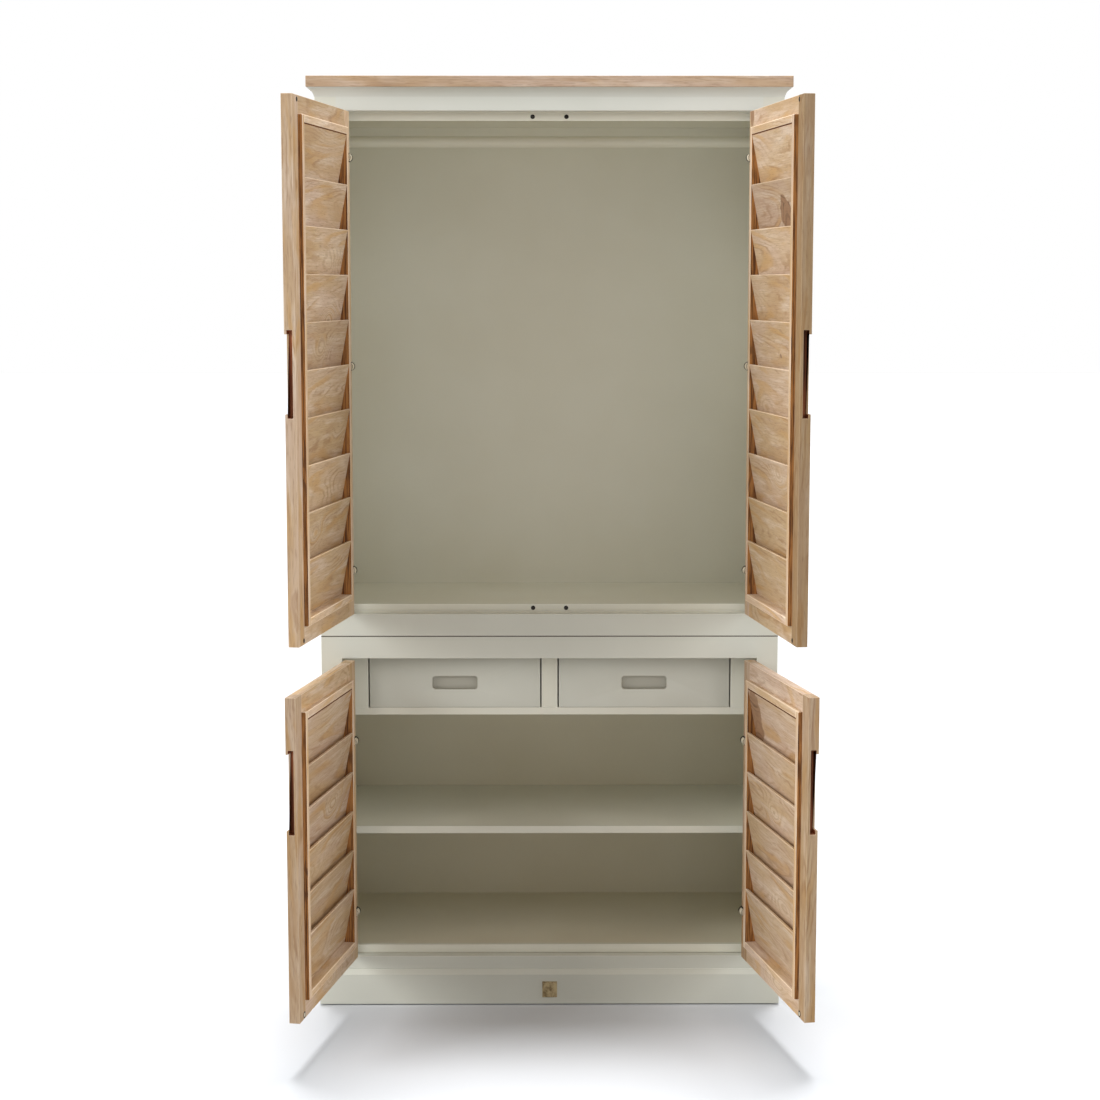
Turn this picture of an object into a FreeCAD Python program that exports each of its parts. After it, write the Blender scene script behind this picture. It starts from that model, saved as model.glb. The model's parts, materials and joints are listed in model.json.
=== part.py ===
"""A two-part wardrobe: louvred doors over a painted carcass with two drawers.

X runs to the right, Y to the back and Z up. The origin is on the floor under the middle of the
carcass. The doors stand open and the drawers are shut, as the part rests.
"""

import FreeCAD, Part
import os
import re

import Sketcher

Vector = FreeCAD.Vector
X_AXIS = Vector(1, 0, 0)
Y_AXIS = Vector(0, 1, 0)
Z_AXIS = Vector(0, 0, 1)

SIZES = {
    # Carcass
    "body_width": 1162, "body_depth": 562, "stile_width": 53,
    "board_thickness": 20, "back_thickness": 12, "shelf_thickness": 19,
    # Heights, from the floor up
    "glide_height": 3, "plinth_height": 90, "lower_bottom_rail_height": 34,
    "lower_opening_height": 780, "lower_top_rail_height": 57, "upper_bottom_rail_height": 57,
    "upper_opening_height": 1256, "frieze_height": 34, "cove_height": 23, "plank_thickness": 27,
    # Crown and top
    "plank_overhang": 19, "plank_edge_radius": 2, "cove_reach": 17, "cove_radius": 34,
    # Plinth
    "plinth_board": 20, "plinth_proud": 12, "glide_radius": 9, "glide_inset": 45,
    "plate_width": 38, "plate_height": 42, "plate_thickness": 1.5, "plate_centre_height": 42,
    "plate_pin_radius": 1.6, "plate_pin_inset": 4, "plate_pin_head": 0.9,
    # Inside the upper cupboard
    "upper_floor_rise": 5, "ceiling_drop": 3, "stop_height": 22, "stop_thickness": 16,
    "stop_clearance": 2, "clothes_rail_radius": 14.5, "clothes_rail_drop": 54,
    "socket_radius": 21, "socket_thickness": 12, "socket_clearance": 0.1,
    # Inside the lower cupboard
    "lower_floor_rise": 13, "inner_setback": 60,
    "shelf_height": 311, "shelf_setback": 78, "shelf_side_clearance": 1, "shelf_pin_radius": 4,
    "shelf_pin_reach": 14, "shelf_pin_hole": 8, "shelf_pin_inset": 60, "hole_clearance": 0.1,
    "dowel_radius": 5, "dowel_half_length": 20, "dowel_inset": 70,
    # Drawers
    "drawer_height": 135, "filler_width": 76.5, "drawer_side_clearance": 3.5,
    "drawer_bottom_clearance": 0.3, "drawer_top_clearance": 3, "drawer_front_thickness": 18,
    "drawer_side_thickness": 16, "drawer_bottom_thickness": 6, "drawer_bottom_rise": 10,
    "drawer_rear_gap": 20, "divider_thickness": 41, "guide_thickness": 18,
    "recess_width": 114, "recess_height": 32, "recess_depth": 12, "recess_corner": 7,
    "recess_drop": 3,
    # Doors
    "upper_left_open_angle": 99.1, "upper_right_open_angle": 97.8,
    "lower_left_open_angle": 100.3, "lower_right_open_angle": 101.2,
    "hinge_gap": 3, "meeting_gap": 3, "door_end_gap": 2, "door_thickness": 26,
    "door_stile": 48, "door_rail": 42, "louvre_member": 18, "louvre_proud": 10.5, "louvre_recess": 1,
    "slat_thickness": 7.5, "slat_overlap": 22, "slat_slope_share": 0.195, "slat_first_extra": 12,
    "upper_slat_last_extra": 26, "lower_slat_last_extra": 38,
    "pull_length": 200, "pull_width": 13.6, "pull_depth": 24, "pull_lip": 5.6,
    "pull_notch_length": 181, "pull_notch_depth": 23, "lower_pull_drop": 224,
    # Hinges
    "pin_proud": 7, "pin_radius": 1.95, "pin_clearance": 0.05, "knuckle_radius": 4.5,
    "door_knuckle_height": 21.4, "frame_knuckle_height": 14, "knuckle_gap": 0.3,
    "leaf_thickness": 1.2, "hinge_plate_width": 27, "boss_radius": 10.7, "boss_sink": 1.7,
    "upper_hinge_inset": 113, "lower_hinge_inset_low": 124, "lower_hinge_inset_high": 206,
    # Catches
    "upper_catch_radius": 5.5, "lower_catch_radius": 8, "catch_margin": 2,
    "catch_depth": 5, "catch_proud": 0.6, "catch_hole_clearance": 0.1,
    # One overrun for every cut
    "overrun": 4,
}

DERIVED = {
    "face": "-body_depth / 2",
    "rear": "body_depth / 2",
    "frame_thickness": "door_thickness + stop_clearance",
    "opening_half": "body_width / 2 - stile_width",
    "inner_half": "body_width / 2 - board_thickness",
    "back_face": "rear - back_thickness",
    "behind_frame": "face + frame_thickness",
    "plinth_top": "glide_height + plinth_height",
    "lower_opening_low": "plinth_top + lower_bottom_rail_height",
    "lower_opening_high": "lower_opening_low + lower_opening_height",
    "seam": "lower_opening_high + lower_top_rail_height",
    "upper_opening_low": "seam + upper_bottom_rail_height",
    "upper_opening_high": "upper_opening_low + upper_opening_height",
    "cove_low": "upper_opening_high + frieze_height",
    "plank_low": "cove_low + cove_height",
    "upper_floor_top": "upper_opening_low + upper_floor_rise",
    "ceiling_low": "upper_opening_high - ceiling_drop",
    "lower_floor_top": "lower_opening_low + lower_floor_rise",
    "deck_low": "seam - shelf_thickness",
    "inner_front": "face + inner_setback",
    "shelf_front": "face + shelf_setback",
    "drawer_low": "lower_opening_high - drawer_top_clearance - drawer_height",
    "support_top": "drawer_low - drawer_bottom_clearance",
    "support_low": "support_top - shelf_thickness",
    "shelf_low": "lower_floor_top + shelf_height - shelf_thickness",
    "drawer_inner": "divider_thickness / 2 + drawer_side_clearance",
    "guide_inner": "inner_half - filler_width - guide_thickness",
    "drawer_outer": "guide_inner - drawer_side_clearance",
    "drawer_width": "drawer_outer - drawer_inner",
    "drawer_length": "back_face - inner_front - drawer_rear_gap",
    "pin_x": "opening_half - hinge_gap / 2",
    "pin_y": "face - pin_proud",
    "door_width": "opening_half - hinge_gap - meeting_gap / 2",
    "door_edge": "hinge_gap / 2",
    "door_inner_face": "pin_proud + door_thickness",
    "meeting_edge": "door_edge + door_width",
    "louvre_x": "door_edge + door_stile",
    "louvre_width": "door_width - 2 * door_stile",
    "slat_x": "louvre_x + louvre_member",
    "slat_width": "louvre_width - 2 * louvre_member",
    "louvre_inner_face": "door_inner_face + louvre_proud",
    "barrel_half": "door_knuckle_height / 2 + knuckle_gap + frame_knuckle_height",
    "catch_from_edge": "(stop_height + door_end_gap) / 2",
    "upper_catch_from_middle": "meeting_gap / 2 + door_stile - catch_margin - upper_catch_radius",
    "lower_catch_from_middle": "meeting_gap / 2 + door_stile - catch_margin - lower_catch_radius",
}

SIDES = {"left": 1, "right": -1}

doc = FreeCAD.newDocument("wardrobe")
sheet = doc.addObject("Spreadsheet::Sheet", "Sizes")
nodes = []


def fill_sheet():
    """Write each driving dimension in a cell of its own, under its alias."""
    for row, (alias, number) in enumerate(SIZES.items(), start=1):
        sheet.set(f"A{row}", alias)
        sheet.set(f"B{row}", str(number))
        sheet.setAlias(f"B{row}", alias)
    doc.recompute()


def formula(text):
    """The sheet expression for a formula in size names."""
    def swap(match):
        word = match.group(0)
        if word in DERIVED:
            return "(" + formula(DERIVED[word]) + ")"
        return "Sizes." + word if word in SIZES else word
    return re.sub(r"[a-z_]+", swap, str(text))


def bind(thing, **sizes):
    """Tie properties to formulas; x, y and z are the place of the object."""
    for name, text in sizes.items():
        path = "Placement.Base." + name if name in ("x", "y", "z") else name
        thing.setExpression(path, formula(text))
    return thing


def add(kind, name):
    return doc.addObject(kind, name)


def box(x, y, z, dx, dy, dz, name="board"):
    return bind(add("Part::Box", name), x=x, y=y, z=z, Length=dx, Width=dy, Height=dz)


def mirrored_box(hand, x, y, z, dx, dy, dz, name="board"):
    """A box that starts x out from the middle, on the side that hand gives."""
    start = x if hand > 0 else f"-({x}) - ({dx})"
    return box(start, y, z, dx, dy, dz, name)


def rod(x, y, z, radius, length, along=Z_AXIS, name="rod"):
    """A cylinder from x, y, z along an axis."""
    cylinder = add("Part::Cylinder", name)
    cylinder.Placement = FreeCAD.Placement(Vector(), FreeCAD.Rotation(Z_AXIS, along))
    return bind(cylinder, x=x, y=y, z=z, Radius=radius, Height=length)


def cut(base, tools, name="cut"):
    result = add("Part::Cut", name)
    result.Base = base
    result.Tool = tools[0] if len(tools) == 1 else fuse(tools)
    return result


def fuse(pieces, name="fuse"):
    result = add("Part::MultiFuse", name)
    result.Shapes = pieces
    return result


def common(base, tool, name="common"):
    result = add("Part::MultiCommon", name)
    result.Shapes = [base, tool]
    return result


def node(label, pieces, name=None):
    """Name a sub-part. Several separate solids are kept together as a compound."""
    if len(pieces) == 1:
        thing = pieces[0]
    else:
        thing = add("Part::Compound", name or label)
        thing.Links = pieces
    thing.Label = label
    nodes.append(thing)
    return thing


def origin_plane(body, role):
    return next(f for f in body.Origin.OriginFeatures if f.Role == role)


def sketch_on(body, name, role="XY_Plane"):
    sketch = body.newObject("Sketcher::SketchObject", name)
    sketch.AttachmentSupport = [(origin_plane(body, role), "")]
    sketch.MapMode = "FlatFace"
    return sketch


def drive(sketch, constraint, text):
    """Add a dimension to a sketch and tie it to a formula."""
    index = sketch.addConstraint(constraint)
    sketch.setExpression(f"Constraints[{index}]", formula(text))


def rectangle(sketch, width, height, width_guess, height_guess):
    """A rectangle from the sketch's origin to width, height."""
    across, up = Vector(width_guess, 0), Vector(0, height_guess)
    corners = [Vector(), across, across + up, up]
    for start, end in zip(corners, corners[1:] + corners[:1]):
        sketch.addGeometry(Part.LineSegment(start, end))
    for side in range(4):
        sketch.addConstraint(Sketcher.Constraint("Coincident", side, 2, (side + 1) % 4, 1))
        sketch.addConstraint(Sketcher.Constraint("Horizontal" if side % 2 == 0 else "Vertical", side))
    sketch.addConstraint(Sketcher.Constraint("Coincident", 0, 1, -1, 1))
    drive(sketch, Sketcher.Constraint("DistanceX", 0, 1, 0, 2, width_guess), width)
    drive(sketch, Sketcher.Constraint("DistanceY", 1, 1, 1, 2, height_guess), height)


def padded(body, sketch, length):
    pad = body.newObject("PartDesign::Pad", "Pad")
    pad.Profile = sketch
    pad.setExpression("Length", formula(length))
    body.Tip = pad
    return pad


def top_plank():
    """The wooden top, with softly rounded edges."""
    body = add("PartDesign::Body", "TopPlank")
    sketch = sketch_on(body, "PlankOutline")
    overhang = SIZES["plank_overhang"]
    rectangle(sketch, "body_width + 2 * plank_overhang", "body_depth + plank_overhang",
              SIZES["body_width"] + 2 * overhang, SIZES["body_depth"] + overhang)
    pad = padded(body, sketch, "plank_thickness")
    doc.recompute()
    rounded = body.newObject("PartDesign::Fillet", "SoftEdges")
    rounded.Base = (pad, [f"Edge{i + 1}" for i in range(len(pad.Shape.Edges))])
    rounded.setExpression("Radius", formula("plank_edge_radius"))
    body.Tip = rounded
    bind(body, x="-(body_width / 2 + plank_overhang)", y="face - plank_overhang", z="plank_low")
    node("top_plank", [body])


def cove_length(name, length):
    """One length of crown: a hollow curve from the frieze out to the plank."""
    body = add("PartDesign::Body", name)
    sketch = sketch_on(body, name + "Profile")
    reach, height, radius = SIZES["cove_reach"], SIZES["cove_height"], SIZES["cove_radius"]
    chord = (reach ** 2 + height ** 2) ** 0.5
    rise = (radius ** 2 - chord ** 2 / 4) ** 0.5
    centre = Vector(reach / 2 + rise * height / chord, height / 2 - rise * reach / chord)
    circle = Part.Circle(centre, Z_AXIS, radius)
    hollow = Part.Arc(circle, circle.parameter(Vector(reach, height)), circle.parameter(Vector(0, 0)))
    sketch.addGeometry(Part.LineSegment(Vector(0, 0), Vector(0, height)))
    sketch.addGeometry(Part.LineSegment(Vector(0, height), Vector(reach, height)))
    sketch.addGeometry(hollow)
    sketch.addConstraint(Sketcher.Constraint("Coincident", 0, 1, -1, 1))
    sketch.addConstraint(Sketcher.Constraint("Vertical", 0))
    sketch.addConstraint(Sketcher.Constraint("Coincident", 0, 2, 1, 1))
    sketch.addConstraint(Sketcher.Constraint("Horizontal", 1))
    sketch.addConstraint(Sketcher.Constraint("Coincident", 1, 2, 2, 1))
    sketch.addConstraint(Sketcher.Constraint("Coincident", 2, 2, 0, 1))
    drive(sketch, Sketcher.Constraint("DistanceY", 0, 1, 0, 2, height), "cove_height")
    drive(sketch, Sketcher.Constraint("DistanceX", 1, 1, 1, 2, reach), "cove_reach")
    drive(sketch, Sketcher.Constraint("Radius", 2, radius), "cove_radius")
    padded(body, sketch, length)
    return body


def turned(thing, outward, up, along):
    """Stand an object up on its own X, Y and Z directions."""
    thing.Placement = FreeCAD.Placement(Vector(), FreeCAD.Rotation(outward, up, along, "XYZ"))
    return thing


def mitre_box(x, turn):
    """A box whose corner is at a front corner of the body and that fills one quadrant."""
    tool = add("Part::Box", "mitre")
    tool.Placement = FreeCAD.Placement(Vector(), FreeCAD.Rotation(Z_AXIS, turn))
    size = "cove_reach * 2"
    return bind(tool, x=x, y="face", z="cove_low - overrun", Length=size, Width=size,
                Height="cove_height + 2 * overrun")


def crown_cove():
    """Three lengths of cove, mitred at the front corners and returned along both sides."""
    half = "body_width / 2"
    front = turned(cove_length("FrontCove", "body_width + 2 * cove_reach"), -Y_AXIS, Z_AXIS, -X_AXIS)
    bind(front, x=f"{half} + cove_reach", y="face", z="cove_low")
    left = turned(cove_length("LeftCove", "body_depth + cove_reach"), -X_AXIS, Z_AXIS, Y_AXIS)
    bind(left, x=f"-({half})", y="face - cove_reach", z="cove_low")
    right = turned(cove_length("RightCove", "body_depth + cove_reach"), X_AXIS, Z_AXIS, -Y_AXIS)
    bind(right, x=half, y="rear", z="cove_low")
    front_cut = cut(front, [mitre_box(f"-({half})", 135), mitre_box(half, -45)])
    left_cut = cut(left, [mitre_box(f"-({half})", 225)])
    right_cut = cut(right, [mitre_box(half, 225)])
    node("crown_cove", [front_cut, left_cut, right_cut])


def frame_board(x, z, dx, dz):
    return box(x, "face", z, dx, "frame_thickness", dz)


def stile_pair(label, low, high):
    height = f"({high}) - ({low})"
    boards = [mirrored_box(hand, "opening_half", "face", low, "stile_width", "frame_thickness", height)
              for hand in SIDES.values()]
    node(label, boards)


def side_pair(label, low, high, holes):
    """Two side boards, drilled where holes says for each hand."""
    boards = []
    for hand in SIDES.values():
        board = mirrored_box(hand, "inner_half", "behind_frame", low, "board_thickness",
                             "rear - behind_frame", f"({high}) - ({low})")
        boards.append(cut(board, holes(hand)))
    node(label, boards)


def dowel_places():
    return ["behind_frame + dowel_inset", "rear - dowel_inset"]


def dowel_rods(hand, clearance):
    middle = f"{hand} * (inner_half + board_thickness / 2)"
    return [rod(middle, y, f"seam - dowel_half_length - {clearance}", f"dowel_radius + {clearance}",
                f"2 * (dowel_half_length + {clearance})") for y in dowel_places()]


def upper_carcass():
    node("frieze_rail", [frame_board("-opening_half", "upper_opening_high", "2 * opening_half",
                                     "plank_low - upper_opening_high")])
    stile_pair("upper_stiles", "seam", "plank_low")
    node("upper_bottom_rail", [frame_board("-opening_half", "seam", "2 * opening_half",
                                           "upper_bottom_rail_height")])
    side_pair("upper_sides", "seam", "plank_low", lambda hand: dowel_rods(hand, "hole_clearance"))
    node("upper_back", [box("-inner_half", "back_face", "seam", "2 * inner_half", "back_thickness",
                            "plank_low - seam")])
    node("ceiling_board", [box("-inner_half", "behind_frame", "ceiling_low", "2 * inner_half",
                               "back_face - behind_frame", "board_thickness")])
    node("upper_floor", [box("-inner_half", "behind_frame", "upper_floor_top - board_thickness",
                             "2 * inner_half", "back_face - behind_frame", "board_thickness")])


def catch_hole(x, y, z, radius, depth):
    """The round pocket that holds a catch, cut from the face at y towards the back."""
    return rod(x, f"{y} - overrun", z, f"{radius} + catch_hole_clearance",
               f"{depth} + overrun", Y_AXIS)


def stop_strip(level, low, high, catch_z):
    """A strip across the opening that the doors close on, drilled for two magnets."""
    strip = box("-inner_half", "behind_frame", low, "2 * inner_half", "stop_thickness",
                f"({high}) - ({low})")
    holes = [catch_hole(f"{hand} * {level}_catch_from_middle", "behind_frame", catch_z,
                        f"{level}_catch_radius", "catch_depth") for hand in SIDES.values()]
    return cut(strip, holes)


def stops():
    top = stop_strip("upper", "upper_opening_high - stop_height", "ceiling_low",
                     "upper_opening_high - catch_from_edge")
    bottom = stop_strip("upper", "upper_floor_top", "upper_opening_low + stop_height",
                        "upper_opening_low + catch_from_edge")
    node("upper_stops", [top, bottom], "UpperStops")
    lower = stop_strip("lower", "lower_opening_low", "lower_opening_low + stop_height",
                       "lower_opening_low + catch_from_edge")
    node("lower_stop", [lower])


def stop_magnets():
    places = [("upper", "upper_opening_high - catch_from_edge"),
              ("upper", "upper_opening_low + catch_from_edge"),
              ("lower", "lower_opening_low + catch_from_edge")]
    discs = [rod(f"{hand} * {level}_catch_from_middle", "behind_frame - catch_proud", z,
                 f"{level}_catch_radius", "catch_depth + catch_proud", Y_AXIS)
             for level, z in places for hand in SIDES.values()]
    node("stop_magnets", discs)


def clothes_rail():
    """A painted rail across the hanging space, with a socket at each end."""
    depth = "(behind_frame + back_face) / 2"
    height = "ceiling_low - clothes_rail_drop"
    rail = rod("-inner_half", depth, height, "clothes_rail_radius", "2 * inner_half", X_AXIS)
    node("clothes_rail", [rail])
    sockets = []
    for hand in SIDES.values():
        start = "-inner_half" if hand > 0 else "inner_half - socket_thickness"
        collar = rod(start, depth, height, "socket_radius", "socket_thickness", X_AXIS)
        bore = rod(f"{start} - overrun", depth, height, "clothes_rail_radius + socket_clearance",
                   "socket_thickness + 2 * overrun", X_AXIS)
        sockets.append(cut(collar, [bore]))
    node("rail_sockets", sockets)


def shelf_pin_rods(hand, clearance, start, length):
    rods = []
    for y in ("shelf_front + shelf_pin_inset", "back_face - shelf_pin_inset"):
        x = f"-({start}) - ({length})" if hand < 0 else start
        rods.append(rod(x, y, "shelf_low - shelf_pin_radius", f"shelf_pin_radius + {clearance}",
                        length, X_AXIS))
    return rods


def lower_side_holes(hand):
    pins = shelf_pin_rods(hand, "hole_clearance", "inner_half - overrun",
                          "overrun + shelf_pin_hole + hole_clearance")
    return dowel_rods(hand, "hole_clearance") + pins


def lower_carcass():
    node("lower_deck", [box("-inner_half", "behind_frame", "deck_low", "2 * inner_half",
                            "back_face - behind_frame", "shelf_thickness")])
    top = frame_board("-opening_half", "lower_opening_high", "2 * opening_half", "lower_top_rail_height")
    bottom = frame_board("-opening_half", "plinth_top", "2 * opening_half", "lower_bottom_rail_height")
    node("lower_rails", [top, bottom])
    stile_pair("lower_stiles", "plinth_top", "seam")
    side_pair("lower_sides", "plinth_top", "seam", lower_side_holes)
    node("lower_back", [box("-inner_half", "back_face", "plinth_top", "2 * inner_half",
                            "back_thickness", "seam - plinth_top")])
    floor_low = "lower_floor_top - board_thickness"
    front = "behind_frame + stop_thickness"
    node("lower_floor", [box("-inner_half", front, floor_low, "2 * inner_half",
                             f"back_face - ({front})", "board_thickness")])
    node("shelf", [box("-inner_half + shelf_side_clearance", "shelf_front", "shelf_low",
                       "2 * (inner_half - shelf_side_clearance)", "back_face - shelf_front",
                       "shelf_thickness")])
    pins = [pin for hand in SIDES.values()
            for pin in shelf_pin_rods(hand, 0, "inner_half - shelf_pin_reach",
                                      "shelf_pin_reach + shelf_pin_hole")]
    node("shelf_pins", pins)
    node("cabinet_dowels", [pin for hand in SIDES.values() for pin in dowel_rods(hand, 0)])


def drawer_bay():
    depth = "back_face - inner_front"
    height = "deck_low - support_top"
    node("drawer_support", [box("-inner_half", "inner_front", "support_low", "2 * inner_half", depth,
                                "shelf_thickness")])
    node("drawer_divider", [box("-divider_thickness / 2", "inner_front", "support_top",
                                "divider_thickness", depth, height)])
    boards = []
    for hand in SIDES.values():
        boards.append(mirrored_box(hand, "guide_inner", "inner_front", "support_top", "guide_thickness",
                                   depth, height))
        boards.append(mirrored_box(hand, "guide_inner + guide_thickness", "inner_front", "support_top",
                                   "inner_half - guide_inner - guide_thickness", "guide_thickness", height))
    node("drawer_guides", boards)


def plinth():
    """Plinth boards cut from one block whose front and side top edges are chamfered."""
    half = "body_width / 2 + plinth_proud"
    front = "face - plinth_proud"
    depth = f"rear - ({front})"
    straight = "plinth_height - plinth_proud"
    block = box(f"-({half})", front, "glide_height", f"2 * ({half})", depth, straight)
    bevel = add("Part::Wedge", "bevel")
    bevel.Placement = FreeCAD.Placement(Vector(), FreeCAD.Rotation(X_AXIS, 90))
    bind(bevel, y=front, z=f"glide_height + {straight}",
         Xmin=f"-({half})", Xmax=half, X2min="-body_width / 2", X2max="body_width / 2",
         Ymin=0, Ymax="plinth_proud", Zmin=f"-({depth})", Zmax=0, Z2min=f"-({depth})",
         Z2max="-plinth_proud")
    outer = fuse([block, bevel])
    high = "plinth_height + overrun"
    boards = [
        (f"-({half})", front, f"2 * ({half})", "plinth_board"),
        (f"-({half})", f"{front} + plinth_board", "plinth_board", f"{depth} - plinth_board"),
        (f"{half} - plinth_board", f"{front} + plinth_board", "plinth_board", f"{depth} - plinth_board"),
        (f"-({half}) + plinth_board", "rear - plinth_board", f"2 * ({half} - plinth_board)", "plinth_board"),
        ("-plinth_board", f"{front} + plinth_board", "2 * plinth_board", f"{depth} - 2 * plinth_board"),
    ]
    node("plinth", [common(outer, box(x, y, "glide_height", dx, dy, high)) for x, y, dx, dy in boards])


def glides():
    """Low glides under the plinth's corners and under the middle of its centre bearer."""
    inner = "body_width / 2 + plinth_proud - plinth_board / 2"
    places = [("-(" + inner + ")", "face + glide_inset"), (inner, "face + glide_inset"),
              ("-(" + inner + ")", "rear - glide_inset"), (inner, "rear - glide_inset"), ("0", "0")]
    node("glides", [rod(x, y, 0, "glide_radius", "glide_height") for x, y in places])


def blank_plate():
    """A bare plate on the plinth, held by four pins through its corners."""
    body = add("PartDesign::Body", "Plate")
    sketch = sketch_on(body, "PlateOutline")
    rectangle(sketch, "plate_width", "plate_height", SIZES["plate_width"], SIZES["plate_height"])
    padded(body, sketch, "plate_thickness")
    turned(body, X_AXIS, Z_AXIS, -Y_AXIS)
    surface = "face - plinth_proud"
    bind(body, x="-plate_width / 2", y=surface, z="plate_centre_height - plate_height / 2")
    pins = []
    holes = []
    for across in (1, -1):
        for up in (1, -1):
            x = f"{across} * (plate_width / 2 - plate_pin_inset)"
            z = f"plate_centre_height + {up} * (plate_height / 2 - plate_pin_inset)"
            pins.append(rod(x, surface, z, "plate_pin_radius", "plate_thickness + plate_pin_head", -Y_AXIS))
            holes.append(rod(x, f"{surface} + overrun", z, "plate_pin_radius + hole_clearance",
                             "plate_thickness + 2 * overrun", -Y_AXIS))
    node("blank_plate", [cut(body, holes)] + pins, "BlankPlate")


def hinge_heights(level):
    """The middles of a door's hinges, above the floor."""
    low, high = f"{level}_opening_low + door_end_gap", f"{level}_opening_high - door_end_gap"
    if level == "upper":
        return [f"{low} + upper_hinge_inset", f"({low} + {high}) / 2", f"{high} - upper_hinge_inset"]
    return [f"{low} + lower_hinge_inset_low", f"{high} - lower_hinge_inset_high"]


def frame_hinge(hand, z):
    """The carcass half of a hinge: a leaf on the stile's edge and two knuckles on the pin."""
    x, y = f"{-hand} * pin_x", "pin_y"
    leaf_x = "-opening_half" if hand > 0 else "opening_half - leaf_thickness"
    leaf = box(leaf_x, f"{y} + knuckle_radius + knuckle_gap", f"{z} - barrel_half", "leaf_thickness",
               "pin_proud + frame_thickness - knuckle_radius - 2 * knuckle_gap", "2 * barrel_half")
    pieces = [leaf]
    for low in (f"{z} - barrel_half", f"{z} + barrel_half - frame_knuckle_height"):
        pieces.append(rod(x, y, low, "knuckle_radius", "frame_knuckle_height"))
        pieces.append(box(leaf_x, y, low, "leaf_thickness", "knuckle_radius + 2 * knuckle_gap",
                          "frame_knuckle_height"))
    bore = rod(x, y, f"{z} - barrel_half - overrun", "pin_radius + pin_clearance",
               "2 * (barrel_half + overrun)")
    return cut(fuse(pieces), [bore])


def carcass_hinges():
    places = [(hand, z) for level in ("upper", "lower") for hand in SIDES.values()
              for z in hinge_heights(level)]
    node("hinge_frame_leaves", [frame_hinge(hand, z) for hand, z in places])
    node("hinge_pins", [rod(f"{-hand} * pin_x", "pin_y", f"{z} - barrel_half", "pin_radius",
                            "2 * barrel_half") for hand, z in places])


def swung(thing, side, level):
    """Set a door's sub-part on its pin line and swing it open."""
    hand, angle = SIDES[side], f"{level}_{side}_open_angle"
    turn = FreeCAD.Rotation(-hand * Z_AXIS, SIZES[angle])
    thing.Placement = FreeCAD.Placement(Vector(), turn)
    thing.setExpression("Placement.Rotation.Angle", formula(angle))
    return bind(thing, x=f"{-hand} * pin_x", y="pin_y")


def door_half(hand, z):
    """The door half of a hinge: knuckle, strap round the door's edge, plate and round boss."""
    low = f"{z} - door_knuckle_height / 2"
    strap = mirrored_box(hand, "door_edge - leaf_thickness", "0", low, "leaf_thickness",
                         "door_inner_face + leaf_thickness", "door_knuckle_height")
    plate = mirrored_box(hand, "door_edge - leaf_thickness", "door_inner_face", low, "hinge_plate_width",
                         "leaf_thickness", "door_knuckle_height")
    boss_x = "door_edge" if hand > 0 else "-(door_edge + hinge_plate_width - leaf_thickness)"
    length = "hinge_plate_width - leaf_thickness"
    roller = rod(boss_x, "door_inner_face - boss_sink", z, "boss_radius", length, X_AXIS)
    room = mirrored_box(hand, "door_edge", "door_inner_face", f"{z} - boss_radius", length, "boss_radius",
                        "2 * boss_radius")
    knuckle = rod(0, 0, low, "knuckle_radius", "door_knuckle_height")
    bore = rod(0, 0, f"{low} - overrun", "pin_radius + pin_clearance", "door_knuckle_height + 2 * overrun")
    return cut(fuse([knuckle, strap, plate, common(roller, room)]), [bore])


def door_catch_heights(level):
    low, high = f"{level}_opening_low + catch_from_edge", f"{level}_opening_high - catch_from_edge"
    return [low, high] if level == "upper" else [low]


def door_catch_rods(hand, level, clearance, start, length):
    return [rod(f"{hand} * (pin_x - {level}_catch_from_middle)", start, z,
                f"{level}_catch_radius + {clearance}", length, Y_AXIS)
            for z in door_catch_heights(level)]


def pull_tools(hand, middle):
    """What the finger pull takes out of the meeting stile: a slot in its edge and a notched lip."""
    slot = mirrored_box(hand, "meeting_edge - pull_depth", "pin_proud + pull_lip",
                        f"{middle} - pull_length / 2", "pull_depth + overrun", "pull_width", "pull_length")
    notch = mirrored_box(hand, "meeting_edge - pull_notch_depth", "pin_proud - overrun",
                         f"{middle} - pull_notch_length / 2", "pull_notch_depth + overrun",
                         "overrun + pull_lip + pull_width / 2", "pull_notch_length")
    return [slot, notch]


def slats(hand, level, low, high):
    """Tilted slats, each tucked behind the top of the one below it."""
    count = 10 if level == "upper" else 6
    first, last = "slat_first_extra", f"{level}_slat_last_extra"
    pitch = f"(({high}) - ({low}) - {first} - {last}) / {count}"
    boards = []
    for index in range(count):
        top = high if index == 0 else f"{high} - {first} - {index} * {pitch}"
        bottom = low if index == count - 1 else f"{high} - {first} - {index + 1} * {pitch} - slat_overlap"
        length = f"({top}) - ({bottom})"
        shift = f"({length}) * slat_slope_share"
        slat = add("Part::Wedge", "slat")
        slat.Placement = FreeCAD.Placement(Vector(), FreeCAD.Rotation(X_AXIS, 90))
        bind(slat, x="slat_x" if hand > 0 else "-(slat_x + slat_width)", y="louvre_inner_face", z=bottom,
             Xmin=0, Xmax="slat_width", X2min=0, X2max="slat_width", Ymin=0, Ymax=length,
             Zmin=shift, Zmax=f"{shift} + slat_thickness", Z2min=0, Z2max="slat_thickness")
        boards.append(slat)
    return boards


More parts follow.
